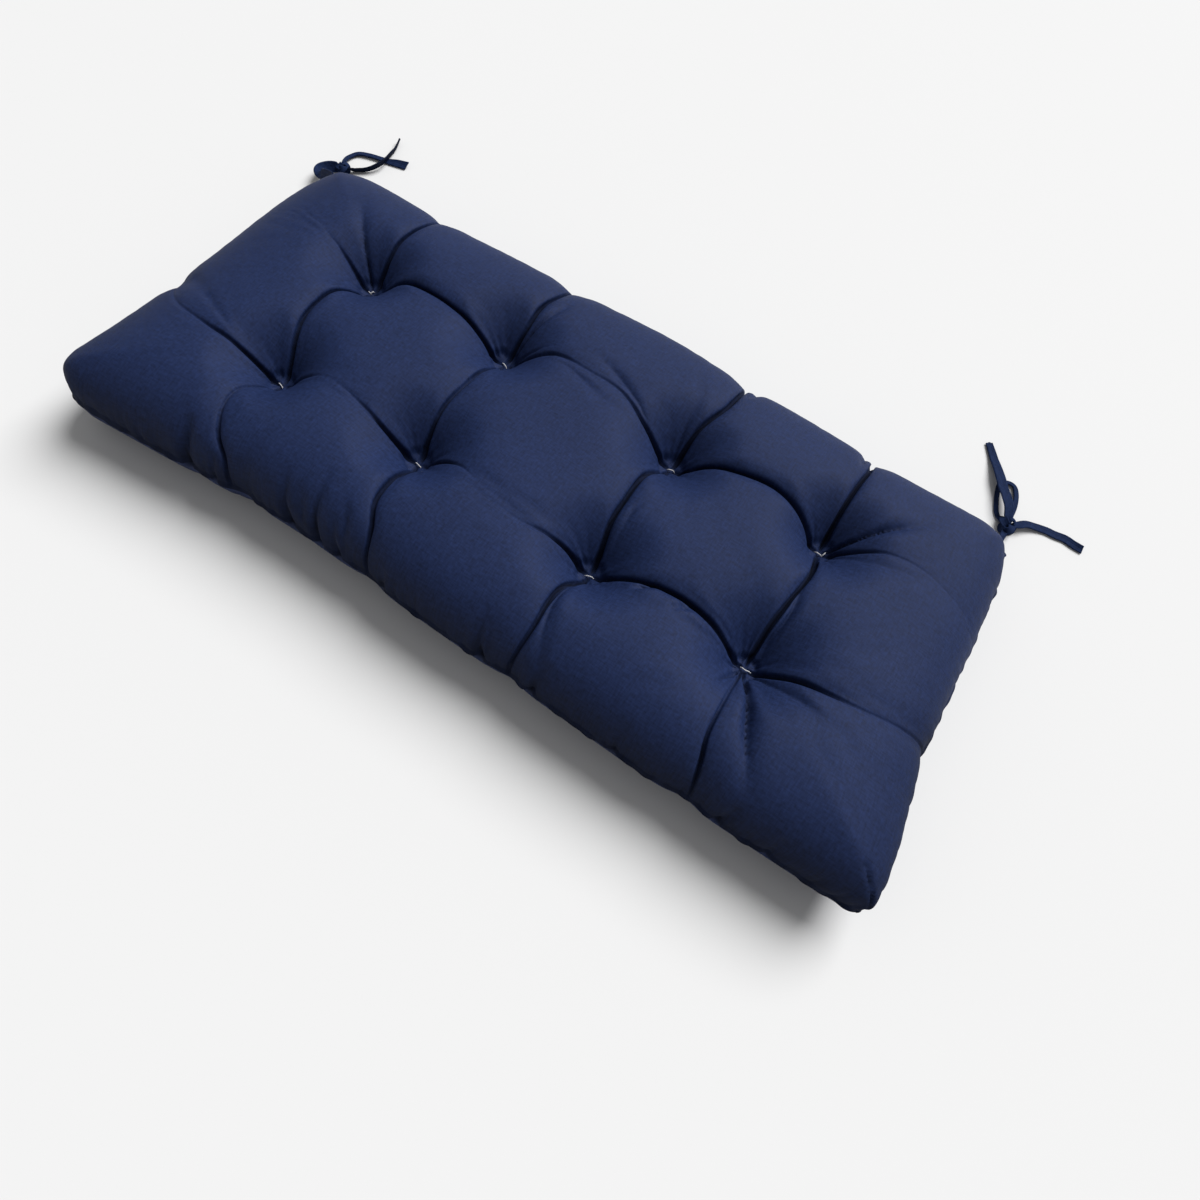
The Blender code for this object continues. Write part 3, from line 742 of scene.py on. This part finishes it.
# Folds that leave the tufts between the valleys, and the small ones along the seam: points in plan
# (mm), depths at start, middle and end, width of the sides (mm), firmness. b1 is the first back
# tuft and f1 the first front one.
folds = {
    "b1ToCorner": (((-331, 92), (-367, 128), (-415, 178)), (0.8, 0.42, 0.0), 26, 0.8),
    "b2Beside": (((-121, 100), (-107, 141), (-97, 168), (-90, 200)), (0.8, 0.45, 0.1), 18, 0.8),
    "b2ToRight": (((-119, 98), (-82, 118), (-49, 127)), (0.8, 0.35, 0.0), 18, 0.6),
    "b2ToB3Low": (((-80, 108), (-30, 98), (20, 84), (55, 79)), (0.1, 0.30, 0.05), 16, 0.6),
    "b2ToB3Mid": (((-40, 142), (5, 128), (46, 112), (78, 95)), (0.05, 0.34, 0.3), 16, 0.7),
    "b3UpLeft": (((121, 90), (113, 135), (112, 179)), (0.8, 0.34, 0.0), 22, 0.5),
    "b3AtSeam": (((150, 196), (158, 214), (160, 232)), (0.1, 0.4, 0.45), 12, 0.9),
    "b4ToCorner": (((328, 92), (353, 111), (380, 134), (407, 154), (430, 175)), (0.9, 0.5, 0.05),
                   26, 0.9),
    "b4AtSeam": (((314, 190), (312, 208), (314, 230)), (0.1, 0.4, 0.4), 12, 0.8),
    "b4ToRight": (((330, 88), (385, 84), (440, 92), (480, 96)), (0.7, 0.25, 0.0), 24, 0.3),
    "f3ToB3Beside": (((128, -62), (126, -30), (128, 0)), (0.2, 0.42, 0.1), 12, 0.7),
    "b4ToF4Beside": (((329, 5), (330, -22), (325, -56), (321, -80)), (0.4, 0.5, 0.9), 14, 0.6),
    "f1Parallel": (((-379, -88), (-430, -70), (-490, -48)), (0.22, 0.26, 0.16), 10, 0.9),
    "f1Up": (((-320, -86), (-345, -72), (-362, -58)), (0.7, 0.2, 0.0), 16, 0.3),
    "f1DownShort": (((-314, -97), (-298, -122), (-284, -142)), (0.8, 0.3, 0.0), 18, 0.6),
    "f1LeftLow": (((-320, -95), (-345, -112), (-362, -140)), (0.8, 0.3, 0.0), 24, 0.4),
    "f2Beside": (((-117, -96), (-104, -140), (-94, -178)), (0.8, 0.38, 0.05), 16, 0.6),
    "f2SoftLeft": (((-124, -90), (-143, -103), (-158, -112)), (0.7, 0.25, 0.0), 20, 0.3),
    "f3Beside": (((121, -98), (115, -150), (123, -190), (139, -224)), (0.8, 0.4, 0.3), 18, 0.6),
    "f3DownLeft": (((117, -96), (98, -125), (90, -150)), (0.7, 0.22, 0.0), 20, 0.3),
    "f4Down": (((320, -90), (340, -139), (357, -179), (384, -222)), (1.0, 0.62, 0.15), 26, 1.0),
    "f4DownLeft": (((315, -92), (302, -130), (296, -165)), (0.8, 0.38, 0.05), 22, 0.7),
    "f4Left": (((314, -89), (295, -98), (279, -108)), (0.8, 0.25, 0.0), 14, 0.5),
    "f2Short": (((-121, -90), (-126, -110), (-124, -126)), (0.7, 0.25, 0.0), 12, 0.5),
    "f3Short": (((122, -96), (134, -112), (140, -126)), (0.7, 0.25, 0.0), 12, 0.5),
    "f4RightLow": (((330, -90), (372, -104), (418, -112), (448, -112)), (0.7, 0.30, 0.0), 18, 0.5),
    "b3DownShort": (((126, 78), (134, 58), (146, 40)), (0.7, 0.25, 0.0), 14, 0.5),
    "frontA": (((-348, -196), (-330, -238)), (0.0, 0.38, 0.4), 16, 0.8),
    "frontB": (((-188, -202), (-170, -238)), (0.0, 0.34, 0.4), 15, 0.7),
    "frontC": (((-140, -178), (-124, -208), (-112, -238)), (0.0, 0.36, 0.4), 15, 0.8),
    "frontD": (((72, -202), (83, -238)), (0.0, 0.34, 0.35), 15, 0.7),
    "f3f4Pinch1": (((176, -96), (190, -84)), (0.5, 0.62, 0.5), 9, 0.7),
    "f3f4Pinch2": (((222, -94), (236, -78)), (0.4, 0.6, 0.5), 9, 0.7),
}

clothRun = {
    "cellsAlong": 208,
    "cellsAcross": 94,
    "closerAtTufts": 1.7,
    "tuftNearness": 0.020,
    "startShare": 0.85,
    "tuftReach": 0.058,
    "tuftWidth": 0.75,  # of a tuft's flat, held down with its stitch
    "coneReach": 0.070,
    "conePower": 1.6,
    "coneShare": 0.77,
    "depthPower": 1.9,
    "slitShare": 0.78,
    "slitWidth": 0.022,
    "slitFullAt": 0.065,  # a slit has that width where its valley's side is this wide
    "softShare": 0.05,
    "softWidth": 0.9,
    "holdWidth": 0.0035,
    "fillHold": 0.50,  # how firmly the filling keeps the lobes to their cut shape
    "creaseHold": 0.9,  # and the most that a crease or a tuft is held
    "pinned": ("front4",),  # tufts that don't give at all
    "frames": 30,
    "pulledByFrame": 12,
    "settings": {
        "vertex_group_mass": "held", "quality": 6, "mass": 0.3, "air_damping": 5,
        "tension_stiffness": 20, "compression_stiffness": 10, "shear_stiffness": 5,
        "bending_stiffness": 0.2, "pin_stiffness": 0.10, "use_pressure": True,
        "uniform_pressure_force": 6.0, "shrink_min": -0.012, "shrink_max": -0.012,
    },
}


def borderOf(shape):
    # true on the outer lines of a grid
    border = np.ones(shape, bool)
    border[1:-1, 1:-1] = False
    return border


def panelLines(half, tuftLines, power, cells):
    # lines across a panel, evenly spaced along the cloth but closer together near the tufts
    angle = np.linspace(-math.pi / 2, math.pi / 2, 20001)
    place = half * np.sin(angle)
    rise = (cover["crownHeight"] - cover["seamHeight"]) * arched(place, half, power)
    close = sum(fading(place - line, clothRun["tuftNearness"]) for line in tuftLines)
    run = np.hypot(np.diff(place), np.diff(rise)) * (1 + clothRun["closerAtTufts"] * close[1:])
    total = np.concatenate([[0], np.cumsum(run)])
    marks = [0, *np.interp(tuftLines, place, total), total[-1]]
    lines = []
    for start, end in zip(marks, marks[1:]):
        count = round(cells * (end - start) / total[-1])
        lines += list(np.interp(np.linspace(start, end, count + 1)[:-1], total, place))
    return np.array(lines + [half])


def bowl(off):
    # a lobe's cloth where it rolls over into a slit: 1 in the slit and 0 past its width
    return 1 - np.sqrt(np.maximum(0, 1 - np.maximum(0, 1 - off) ** 2))


def dip(off):
    # a soft valley with no crease: 1 in the middle and 0 past its width
    return 0.5 + 0.5 * np.cos(np.pi * np.minimum(1, off))


# seam of the front right corner's dart, which only grooves the cloth: the same values as a fold's,
# and the firmness at its start, along it and at its end
dart = (((496, -208), (532, -240)), (0.4, 0.4, 0.4), 30, 1.0, (1, 1, 1, 1))


def creaseLine(points, depths, width, firm, firmShares):
    # a fold or dart as a dense line, with its depth, width and firmness along it
    plan = smoothRoute(np.array(points) * mm, lineSpacing)
    share = np.linspace(0, 1, len(plan))
    firmness = firm * np.interp(share, (0, 0.2, 0.7, 1), firmShares)
    return np.column_stack([plan, np.interp(share, (0, 0.5, 1), depths), np.full(len(plan), width), firmness])


def allCreases():
    # every valley and fold as a dense line with its depth, width and firmness along it
    lines = {}
    for kind, valleys, along in (("column", columnValleys, 1), ("row", rowValleys, 0)):
        for number, points in enumerate(valleys, 1):
            lines[kind + str(number)] = valleyRoute(points, along)
    for name, (points, depths, width, firm) in folds.items():
        endFirm = 0 if depths[2] < 0.2 else 0.8
        lines[name] = creaseLine(points, depths, width, firm, (1, 1, 0.8, endFirm))
    return lines


def besideLine(x, y, line, reach):
    # the places within reach of a line, how far off it they are and the line's nearest row
    near = ((x > line[:, 0].min() - reach) & (x < line[:, 0].max() + reach)
            & (y > line[:, 1].min() - reach) & (y < line[:, 1].max() + reach))
    offX = x[near][:, None] - line[None, :, 0]
    offY = y[near][:, None] - line[None, :, 1]
    nearest = np.argmin(offX ** 2 + offY ** 2, axis=1)
    rows = np.arange(len(nearest))
    offX, offY = offX[rows, nearest], offY[rows, nearest]
    tangent = unit(np.gradient(line[:, :2], axis=0))[nearest]
    run = np.clip(offX * tangent[:, 0] + offY * tangent[:, 1], -lineReach, lineReach)
    return near, np.hypot(offX - run * tangent[:, 0], offY - run * tangent[:, 1]), nearest


def pulledDown(x, y, lines):
    # for each place: how far it is pulled down (1 is a tuft), and how firmly a crease holds it
    total, hold = np.zeros_like(x), np.zeros_like(x)
    steep, slit, soft = clothRun["coneShare"], clothRun["slitShare"], clothRun["softShare"]
    for tuftX, tuftY in tufts.values():
        off = np.maximum(0, np.hypot(x - tuftX, y - tuftY) - 0.5 * cover["tuftFlat"])
        cone = np.maximum(0, 1 - off / clothRun["coneReach"]) ** clothRun["conePower"]
        total += ((1 - steep) * bowl(off / clothRun["tuftReach"]) + steep * cone) ** 3
    for line in lines.values():
        near, off, nearest = besideLine(x, y, line, line[:, 3].max() * mm)
        depth = np.maximum(0, line[nearest, 2]) ** clothRun["depthPower"]
        width = line[nearest, 3] * mm
        firm = np.clip(line[nearest, 4], 0, 1)
        slitWidth = clothRun["slitWidth"] * np.sqrt(width / clothRun["slitFullAt"])
        creased = (slit * bowl(off / slitWidth) + soft * dip(off / width)
                   + (1 - slit - soft) * bowl(off / width))
        side = firm * creased + (1 - firm) * dip(off / (clothRun["softWidth"] * width))
        total[near] += (depth * side) ** 3
        hold[near] = np.maximum(hold[near], firm * fading(off, clothRun["holdWidth"]))
    return np.minimum(1, total ** (1 / 3)), hold


def makeUpperCloth(lines):
    # the panel as it starts, the shape it is pulled down to, and how firmly that holds it
    columns = panelLines(cover["length"] / 2, tuftColumns, cover["endFullness"], clothRun["cellsAlong"])
    rows = panelLines(cover["depth"] / 2, tuftRows, cover["frontFullness"], clothRun["cellsAcross"])
    x, y = warped(*np.meshgrid(columns, rows, indexing="ij"))
    planX, planY = bulged(x, y, *drawnIn(x, y))
    crown = cover["crownHeight"] - cover["seamHeight"]
    tuftShare = 1 - (cover["tuftHeight"] - cover["seamHeight"]) / crown
    low, hold = pulledDown(x, y, lines)
    rise = crown * fullness(x, y)
    start, held = (
        np.stack([planX, planY, cover["seamHeight"] + rise * (1 - tuftShare * share * low)], -1)
        for share in (clothRun["startShare"], 1))
    firm = np.clip(hold, clothRun["fillHold"], clothRun["creaseHold"])
    for name, (tuftX, tuftY) in tufts.items():
        onTuft = np.hypot(x - tuftX, y - tuftY) < clothRun["tuftWidth"] * cover["tuftFlat"]
        held[onTuft, 2] = cover["tuftHeight"]
        firm[onTuft] = 1 if name in clothRun["pinned"] else clothRun["creaseHold"]
    firm[borderOf(x.shape)] = 1
    return {"x": x, "y": y, "start": start, "held": held, "firm": firm}


def runCloth(cloth):
    # the panel pulled down and filled, as a grid of settled points
    start = cloth["start"]
    index = np.arange(start[..., 0].size).reshape(start.shape[:2])
    panel = addMesh("upperPanel", start.reshape(-1, 3), gridFaces(index), navyCloth)
    panel.shape_key_add(name="cut")
    pulled = panel.shape_key_add(name="pulled")
    pulled.data.foreach_set("co", cloth["held"].reshape(-1).astype(np.float32))
    for number, share in ((1, 0), (clothRun["pulledByFrame"], 1)):
        pulled.value = share
        pulled.keyframe_insert("value", frame=number)
    pins = panel.vertex_groups.new(name="held")
    for number, firm in enumerate(cloth["firm"].reshape(-1)):
        pins.add([number], float(firm), "REPLACE")
    modifier = panel.modifiers.new("cloth", "CLOTH")
    for name, value in clothRun["settings"].items():
        setattr(modifier.settings, name, value)
    modifier.settings.effector_weights.gravity = 0
    modifier.collision_settings.use_collision = False
    modifier.point_cache.frame_start = 1
    modifier.point_cache.frame_end = clothRun["frames"] + 1
    for number in range(1, clothRun["frames"] + 1):
        bpy.context.scene.frame_set(number)
    evaluated = panel.evaluated_get(bpy.context.evaluated_depsgraph_get())
    settled = np.empty(start.size, np.float32)
    evaluated.to_mesh().vertices.foreach_get("co", settled)
    evaluated.to_mesh_clear()
    bpy.data.objects.remove(panel, do_unlink=True)
    bpy.context.scene.frame_set(1)
    return settled.reshape(start.shape).astype(float)


def smoothed(grid):
    # evens out ripples of one or two cells, away from the border
    for axis in (0, 1):
        grid = np.moveaxis(grid, axis, 0).copy()
        grid[1:-1] = (grid[:-2] + 2 * grid[1:-1] + grid[2:]) / 4
        grid = np.moveaxis(grid, 0, axis)
    return grid


def refined(grid):
    # twice as many lines each way, as one subdivision of the cloth gives
    for axis in (0, 1):
        grid = np.moveaxis(grid, axis, 0)
        fine = np.empty((2 * len(grid) - 1, *grid.shape[1:]))
        fine[0::2] = grid
        fine[2:-2:2] = (grid[:-2] + 6 * grid[1:-1] + grid[2:]) / 8
        fine[1::2] = (grid[:-1] + grid[1:]) / 2
        grid = np.moveaxis(fine, 0, axis)
    return grid


def gridNormals(points):
    return unit(np.cross(np.gradient(points, axis=0), np.gradient(points, axis=1)))


sewing = {
    "grooveDepth": 0.0060,
    "grooveWidth": 0.0016,
    "grooveFrom": 0.15,  # depth of a valley or fold where its groove starts
    "grooveGrows": 0.35,  # and how much deeper it is where the groove is full
    "grooveFullWidth": 30,  # mm
    "edgeLines": 4,  # lines of the cloth over which the grooves end at the seam
    "tuftReach": 0.007,
    "tuftLift": 0.7,
    "underShare": 0.8,
    "wrinkle": 0.0009,
    "wrinkleReach": 0.034,
    "wrinkleCounts": (9, 14, 19),
    "wrinkleBend": 1.5,
    "bendRate": 60,  # radians to a metre
    "wrinkleFrom": 0.005,  # off the tuft's middle
    "wrinkleGrows": 0.010,  # the length over which it reaches its height
    "gatherFront": -0.15,  # only the cloth in front of this line is gathered
    "edgeOut": 0.0022,
    "ripple": 0.0011,
    "rippleOut": ((0.023, 0.038, 0.071), 7),  # lengths of its waves, and a number for their places
    "rippleUp": ((0.031, 0.052, 0.093), 9),
    "pucker": 0.0024,
    "puckerReach": 0.026,
    "puckerGrows": 0.006,
    "puckerWaves": ((0.031, 0.047, 0.083), 4),
    # painted shade: how dark the grooves, the gathers and the cloth along the seam are drawn
    "grooveShade": (1.25, 0.2),  # for a full groove, and what is taken off
    "gatherShade": 1.0,
    "shadedGather": 0.006,  # depth at which a gather is fully shaded
    "seamShade": 0.75,
    "shadeReach": 0.040,
    "backShade": 0.2,  # of the seam's shade, along the back
    "backReach": 0.12,
}


def grooves(x, y, lines):
    # how deep the creases are drawn in past what the cloth run gives, in metres
    depth = np.zeros_like(x)
    for line in lines.values():
        near, off, nearest = besideLine(x, y, line, 4 * sewing["grooveWidth"])
        firm = np.clip(line[nearest, 4], 0, 1) * np.minimum(1, line[nearest, 3] / sewing["grooveFullWidth"])
        firm = firm * np.clip((line[nearest, 2] - sewing["grooveFrom"]) / sewing["grooveGrows"], 0, 1)
        width = sewing["grooveWidth"] * (0.6 + 0.4 * firm)
        here = sewing["grooveDepth"] * firm * np.exp(-np.abs(off / width) ** 1.6)
        depth[near] = np.maximum(depth[near], here)
    for tuftX, tuftY in tufts.values():
        depth *= 1 - sewing["tuftLift"] * fading(np.hypot(x - tuftX, y - tuftY), sewing["tuftReach"])
    fromBorder = np.minimum(*np.meshgrid(
        *(np.minimum(np.arange(count), np.arange(count)[::-1]) for count in x.shape), indexing="ij"))
    return depth * np.clip(fromBorder / sewing["edgeLines"], 0, 1)


def wavy(run, lengths, seed):
    # a smooth uneven wave along a run of cloth, between about -1 and 1
    phases = np.random.default_rng(seed).uniform(0, 2 * np.pi, len(lengths))
    return sum(np.sin(2 * np.pi * run / length + phase) for length, phase in zip(lengths, phases)) / 2


def wrinkles(x, y):
    # fine wrinkles that run out from each tuft, in metres of height
    height = np.zeros_like(x)
    for seed, (tuftX, tuftY) in enumerate(tufts.values()):
        off = np.hypot(x - tuftX, y - tuftY)
        angle = np.arctan2(y - tuftY, x - tuftX)
        draw = np.random.default_rng(20 + seed)
        wave = np.zeros_like(x)
        bend = sewing["wrinkleBend"] * np.sin(sewing["bendRate"] * off)
        for count in sewing["wrinkleCounts"]:
            share = 0.5 + 0.5 * np.sin(angle + draw.uniform(0, 2 * np.pi))
            wave += share * np.sin(count * angle + draw.uniform(0, 2 * np.pi) + bend)
        grown = np.clip((off - sewing["wrinkleFrom"]) / sewing["wrinkleGrows"], 0, 1)
        fade = grown * fading(off, sewing["wrinkleReach"])
        height += sewing["wrinkle"] * fade * wave / 1.5
    return height


# short gathers that run up from the front seam (mm): place along it, lean, height, half width, depth
seamGathers = (
    (-335, 0, 56, 5, 7.0),
    (-298, 4, 42, 4, 5.5),
    (-191, -14, 60, 5, 7.0),
    (-150, -14, 68, 5, 8.0),
    (-122, -12, 52, 4, 6.0),
    (-60, 4, 36, 4, 4.5),
    (75, -12, 58, 5, 7.0),
    (140, 8, 50, 5, 6.0),
    (247, 0, 46, 5, 5.5),
    (372, 10, 42, 5, 6.0),
    (430, 0, 38, 5, 5.0),
)


def gathers(x, y, rise):
    # how far in the cloth is drawn along the gathers, in metres
    depth = np.zeros_like(x)
    for place, lean, height, halfWidth, deep in seamGathers:
        up = rise / (height * mm)
        off = x - (place + lean * up) * mm
        here = deep * mm * fading(off, halfWidth * mm) * np.clip(1 - up, 0, 1) ** 0.6
        depth = np.maximum(depth, here)
    return np.where(y < sewing["gatherFront"], depth, 0)


def sewnEdge(upper, x, y):
    # the seam stands out as a thin edge, and the cloth beside it puckers between the stitches
    endOff, frontOff = fromEdges(x, y)
    # a place along the seam, set apart for each of the four edges
    run = np.where(endOff < frontOff, y + 2 * np.sign(x), x + 4 * np.sign(y))
    rise = upper[..., 2] - cover["seamHeight"]
    near = fading(rise, sewing["puckerReach"]) * np.clip(rise / sewing["puckerGrows"], 0, 1)
    pucker = (1 - np.abs(wavy(run, *sewing["puckerWaves"])) ** 0.6) * near * sewing["pucker"]
    upper = upper - gridNormals(upper) * pucker[..., None]
    outX, outY = np.zeros_like(x), np.zeros_like(y)
    outX[0], outX[-1], outY[:, 0], outY[:, -1] = -1, 1, -1, 1
    amount = sewing["edgeOut"] + sewing["ripple"] * wavy(run, *sewing["rippleOut"])
    upper[..., 0] += outX * amount
    upper[..., 1] += outY * amount
    upper[..., 2] += np.where(borderOf(x.shape), sewing["ripple"] * wavy(run, *sewing["rippleUp"]), 0)
    return upper


def shades(upper, x, y, depth, gathered):
    # painted shade at each place, 0 to 1: in the creases and gathers, and under the lobes along the front
    # seam, less along the back
    much, less = sewing["grooveShade"]
    inGroove = np.clip(much * depth / sewing["grooveDepth"] - less, 0, 1)
    inGather = sewing["gatherShade"] * np.minimum(1, gathered / sewing["shadedGather"]) ** 1.5
    rise = np.maximum(0, upper[..., 2] - cover["seamHeight"])
    fromEdge = np.minimum(*fromEdges(x, y))
    nearSeam = fading(rise, sewing["shadeReach"]) * np.clip(2 - fromEdge / sewing["shadeReach"], 0, 1)
    towardFront = np.clip(0.5 - y / sewing["backReach"], sewing["backShade"], 1)
    return np.maximum(np.maximum(inGroove, inGather), sewing["seamShade"] * nearSeam * towardFront)


def lowerHeight(x, y, lines):
    low = pulledDown(x, y, lines)[0]
    tuftShare = 1 - (cover["seamHeight"] - cover["underTuftHeight"]) / cover["underSag"]
    sag = cover["underSag"] * fullness(x, y)
    return np.maximum(0, cover["seamHeight"] - sag * (1 - tuftShare * sewing["underShare"] * low))


def bothPanels(upper, lower):
    # the upper panel's points and then the lower one's, without the edge that they share
    width = upper.shape[2:]
    return np.concatenate([upper.reshape(-1, *width), lower[1:-1, 1:-1].reshape(-1, *width)])


def coverFaces(fineShape):
    # one closed cover: the lower panel has every second line of the upper one, and shares its edge
    upper = np.arange(fineShape[0] * fineShape[1]).reshape(fineShape)
    lower = np.where(borderOf(fineShape), upper, -1)
    inner = lower[2:-2:2, 2:-2:2]
    inner[:] = upper.size + np.arange(inner.size).reshape(inner.shape)
    faces = gridFaces(upper).tolist()
    around = ((0, 0), (0, 1), (0, 2), (1, 2), (2, 2), (2, 1), (2, 0), (1, 0))
    for i in range(0, fineShape[0] - 1, 2):
        for j in range(0, fineShape[1] - 1, 2):
            ring = [int(lower[i + k, j + m]) for k, m in around]
            faces.append([number for number in ring if number >= 0])
    return faces


def makeCushion():
    lines = allCreases()
    cloth = makeUpperCloth(lines)
    coarseX, coarseY = cloth["x"], cloth["y"]
    print("upper panel cut:", coarseX.shape, "lines")
    settled = runCloth(cloth)
    moved = smoothed(settled - cloth["held"])
    print("cloth settled: moved up to", round(float(np.linalg.norm(moved, axis=-1).max()), 4),
          "top at", round(float(settled[..., 2].max()), 4))
    upper = refined(cloth["held"] + moved)
    x, y = refined(coarseX), refined(coarseY)
    depth = grooves(x, y, {**lines, "dart": creaseLine(*dart)})
    upper -= gridNormals(upper) * (depth - wrinkles(x, y))[..., None]
    gathered = gathers(x, y, np.maximum(0, upper[..., 2] - cover["seamHeight"]))
    upper -= gridNormals(upper) * gathered[..., None]
    upper = sewnEdge(upper, x, y)
    lower = np.stack([*drawnIn(coarseX, coarseY), lowerHeight(coarseX, coarseY, lines)], -1)
    points, faces = bothPanels(upper, lower), coverFaces(x.shape)
    cushion = addMesh("cushionCover", points, faces, navyCloth)
    # the upper panel's painted shade, none on the lower one, kept in the creased attribute that darkens the
    # cloth
    shaded = bothPanels(shades(upper, x, y, depth, gathered), np.zeros_like(coarseX))
    # where each point lies in the flat cloth, for the weave
    place = bothPanels(np.stack([x, y, 0 * x], -1), np.stack([coarseX, coarseY, 0 * coarseX], -1))
    for name, kind, key, values in (("creased", "FLOAT", "value", shaded),
                                    ("clothPlace", "FLOAT_VECTOR", "vector", place)):
        attribute = cushion.data.attributes.new(name, kind, "POINT")
        attribute.data.foreach_set(key, values.astype(np.float32).reshape(-1))
    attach(cushion, "root")
    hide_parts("cushion")
    print("cushion cover:", len(points), "points", sum(len(face) - 2 for face in faces), "triangles")


makeCushion()


# Floor and light

studio = {
    "world": 0.27,
    "key": 3.9,
    "keyHeightDeg": 50,
    "keyTurnDeg": 20,
    "keySpreadDeg": 40,
    "floor": 0.74,
    "floorHalf": 6.0,
    "floorHeight": -0.0002,
}


def makeStudio():
    half, height = studio["floorHalf"], studio["floorHeight"]
    points = [(x * half, y * half, height) for x, y in ((-1, -1), (1, -1), (1, 1), (-1, 1))]
    paint = Finish("pale floor", (studio["floor"],) * 3, 0.9)
    ground = addMesh("floor", points, [(0, 1, 2, 3)], paint)
    world = bpy.data.worlds.new("studio")
    world.use_nodes = True
    background = world.node_tree.nodes["Background"]
    background.inputs["Color"].default_value = (1, 1, 1, 1)
    background.inputs["Strength"].default_value = studio["world"]
    bpy.context.scene.world = world
    lamp = bpy.data.lights.new("window light", "SUN")
    lamp.energy = studio["key"]
    lamp.angle = math.radians(studio["keySpreadDeg"])
    holder = bpy.data.objects.new("window light", lamp)
    bpy.context.collection.objects.link(holder)
    tilt, turn = math.radians(studio["keyHeightDeg"] - 90), -math.radians(studio["keyTurnDeg"])
    holder.rotation_euler = (tilt, 0, turn)
    bpy.context.scene.view_settings.view_transform = "Standard"


makeStudio()
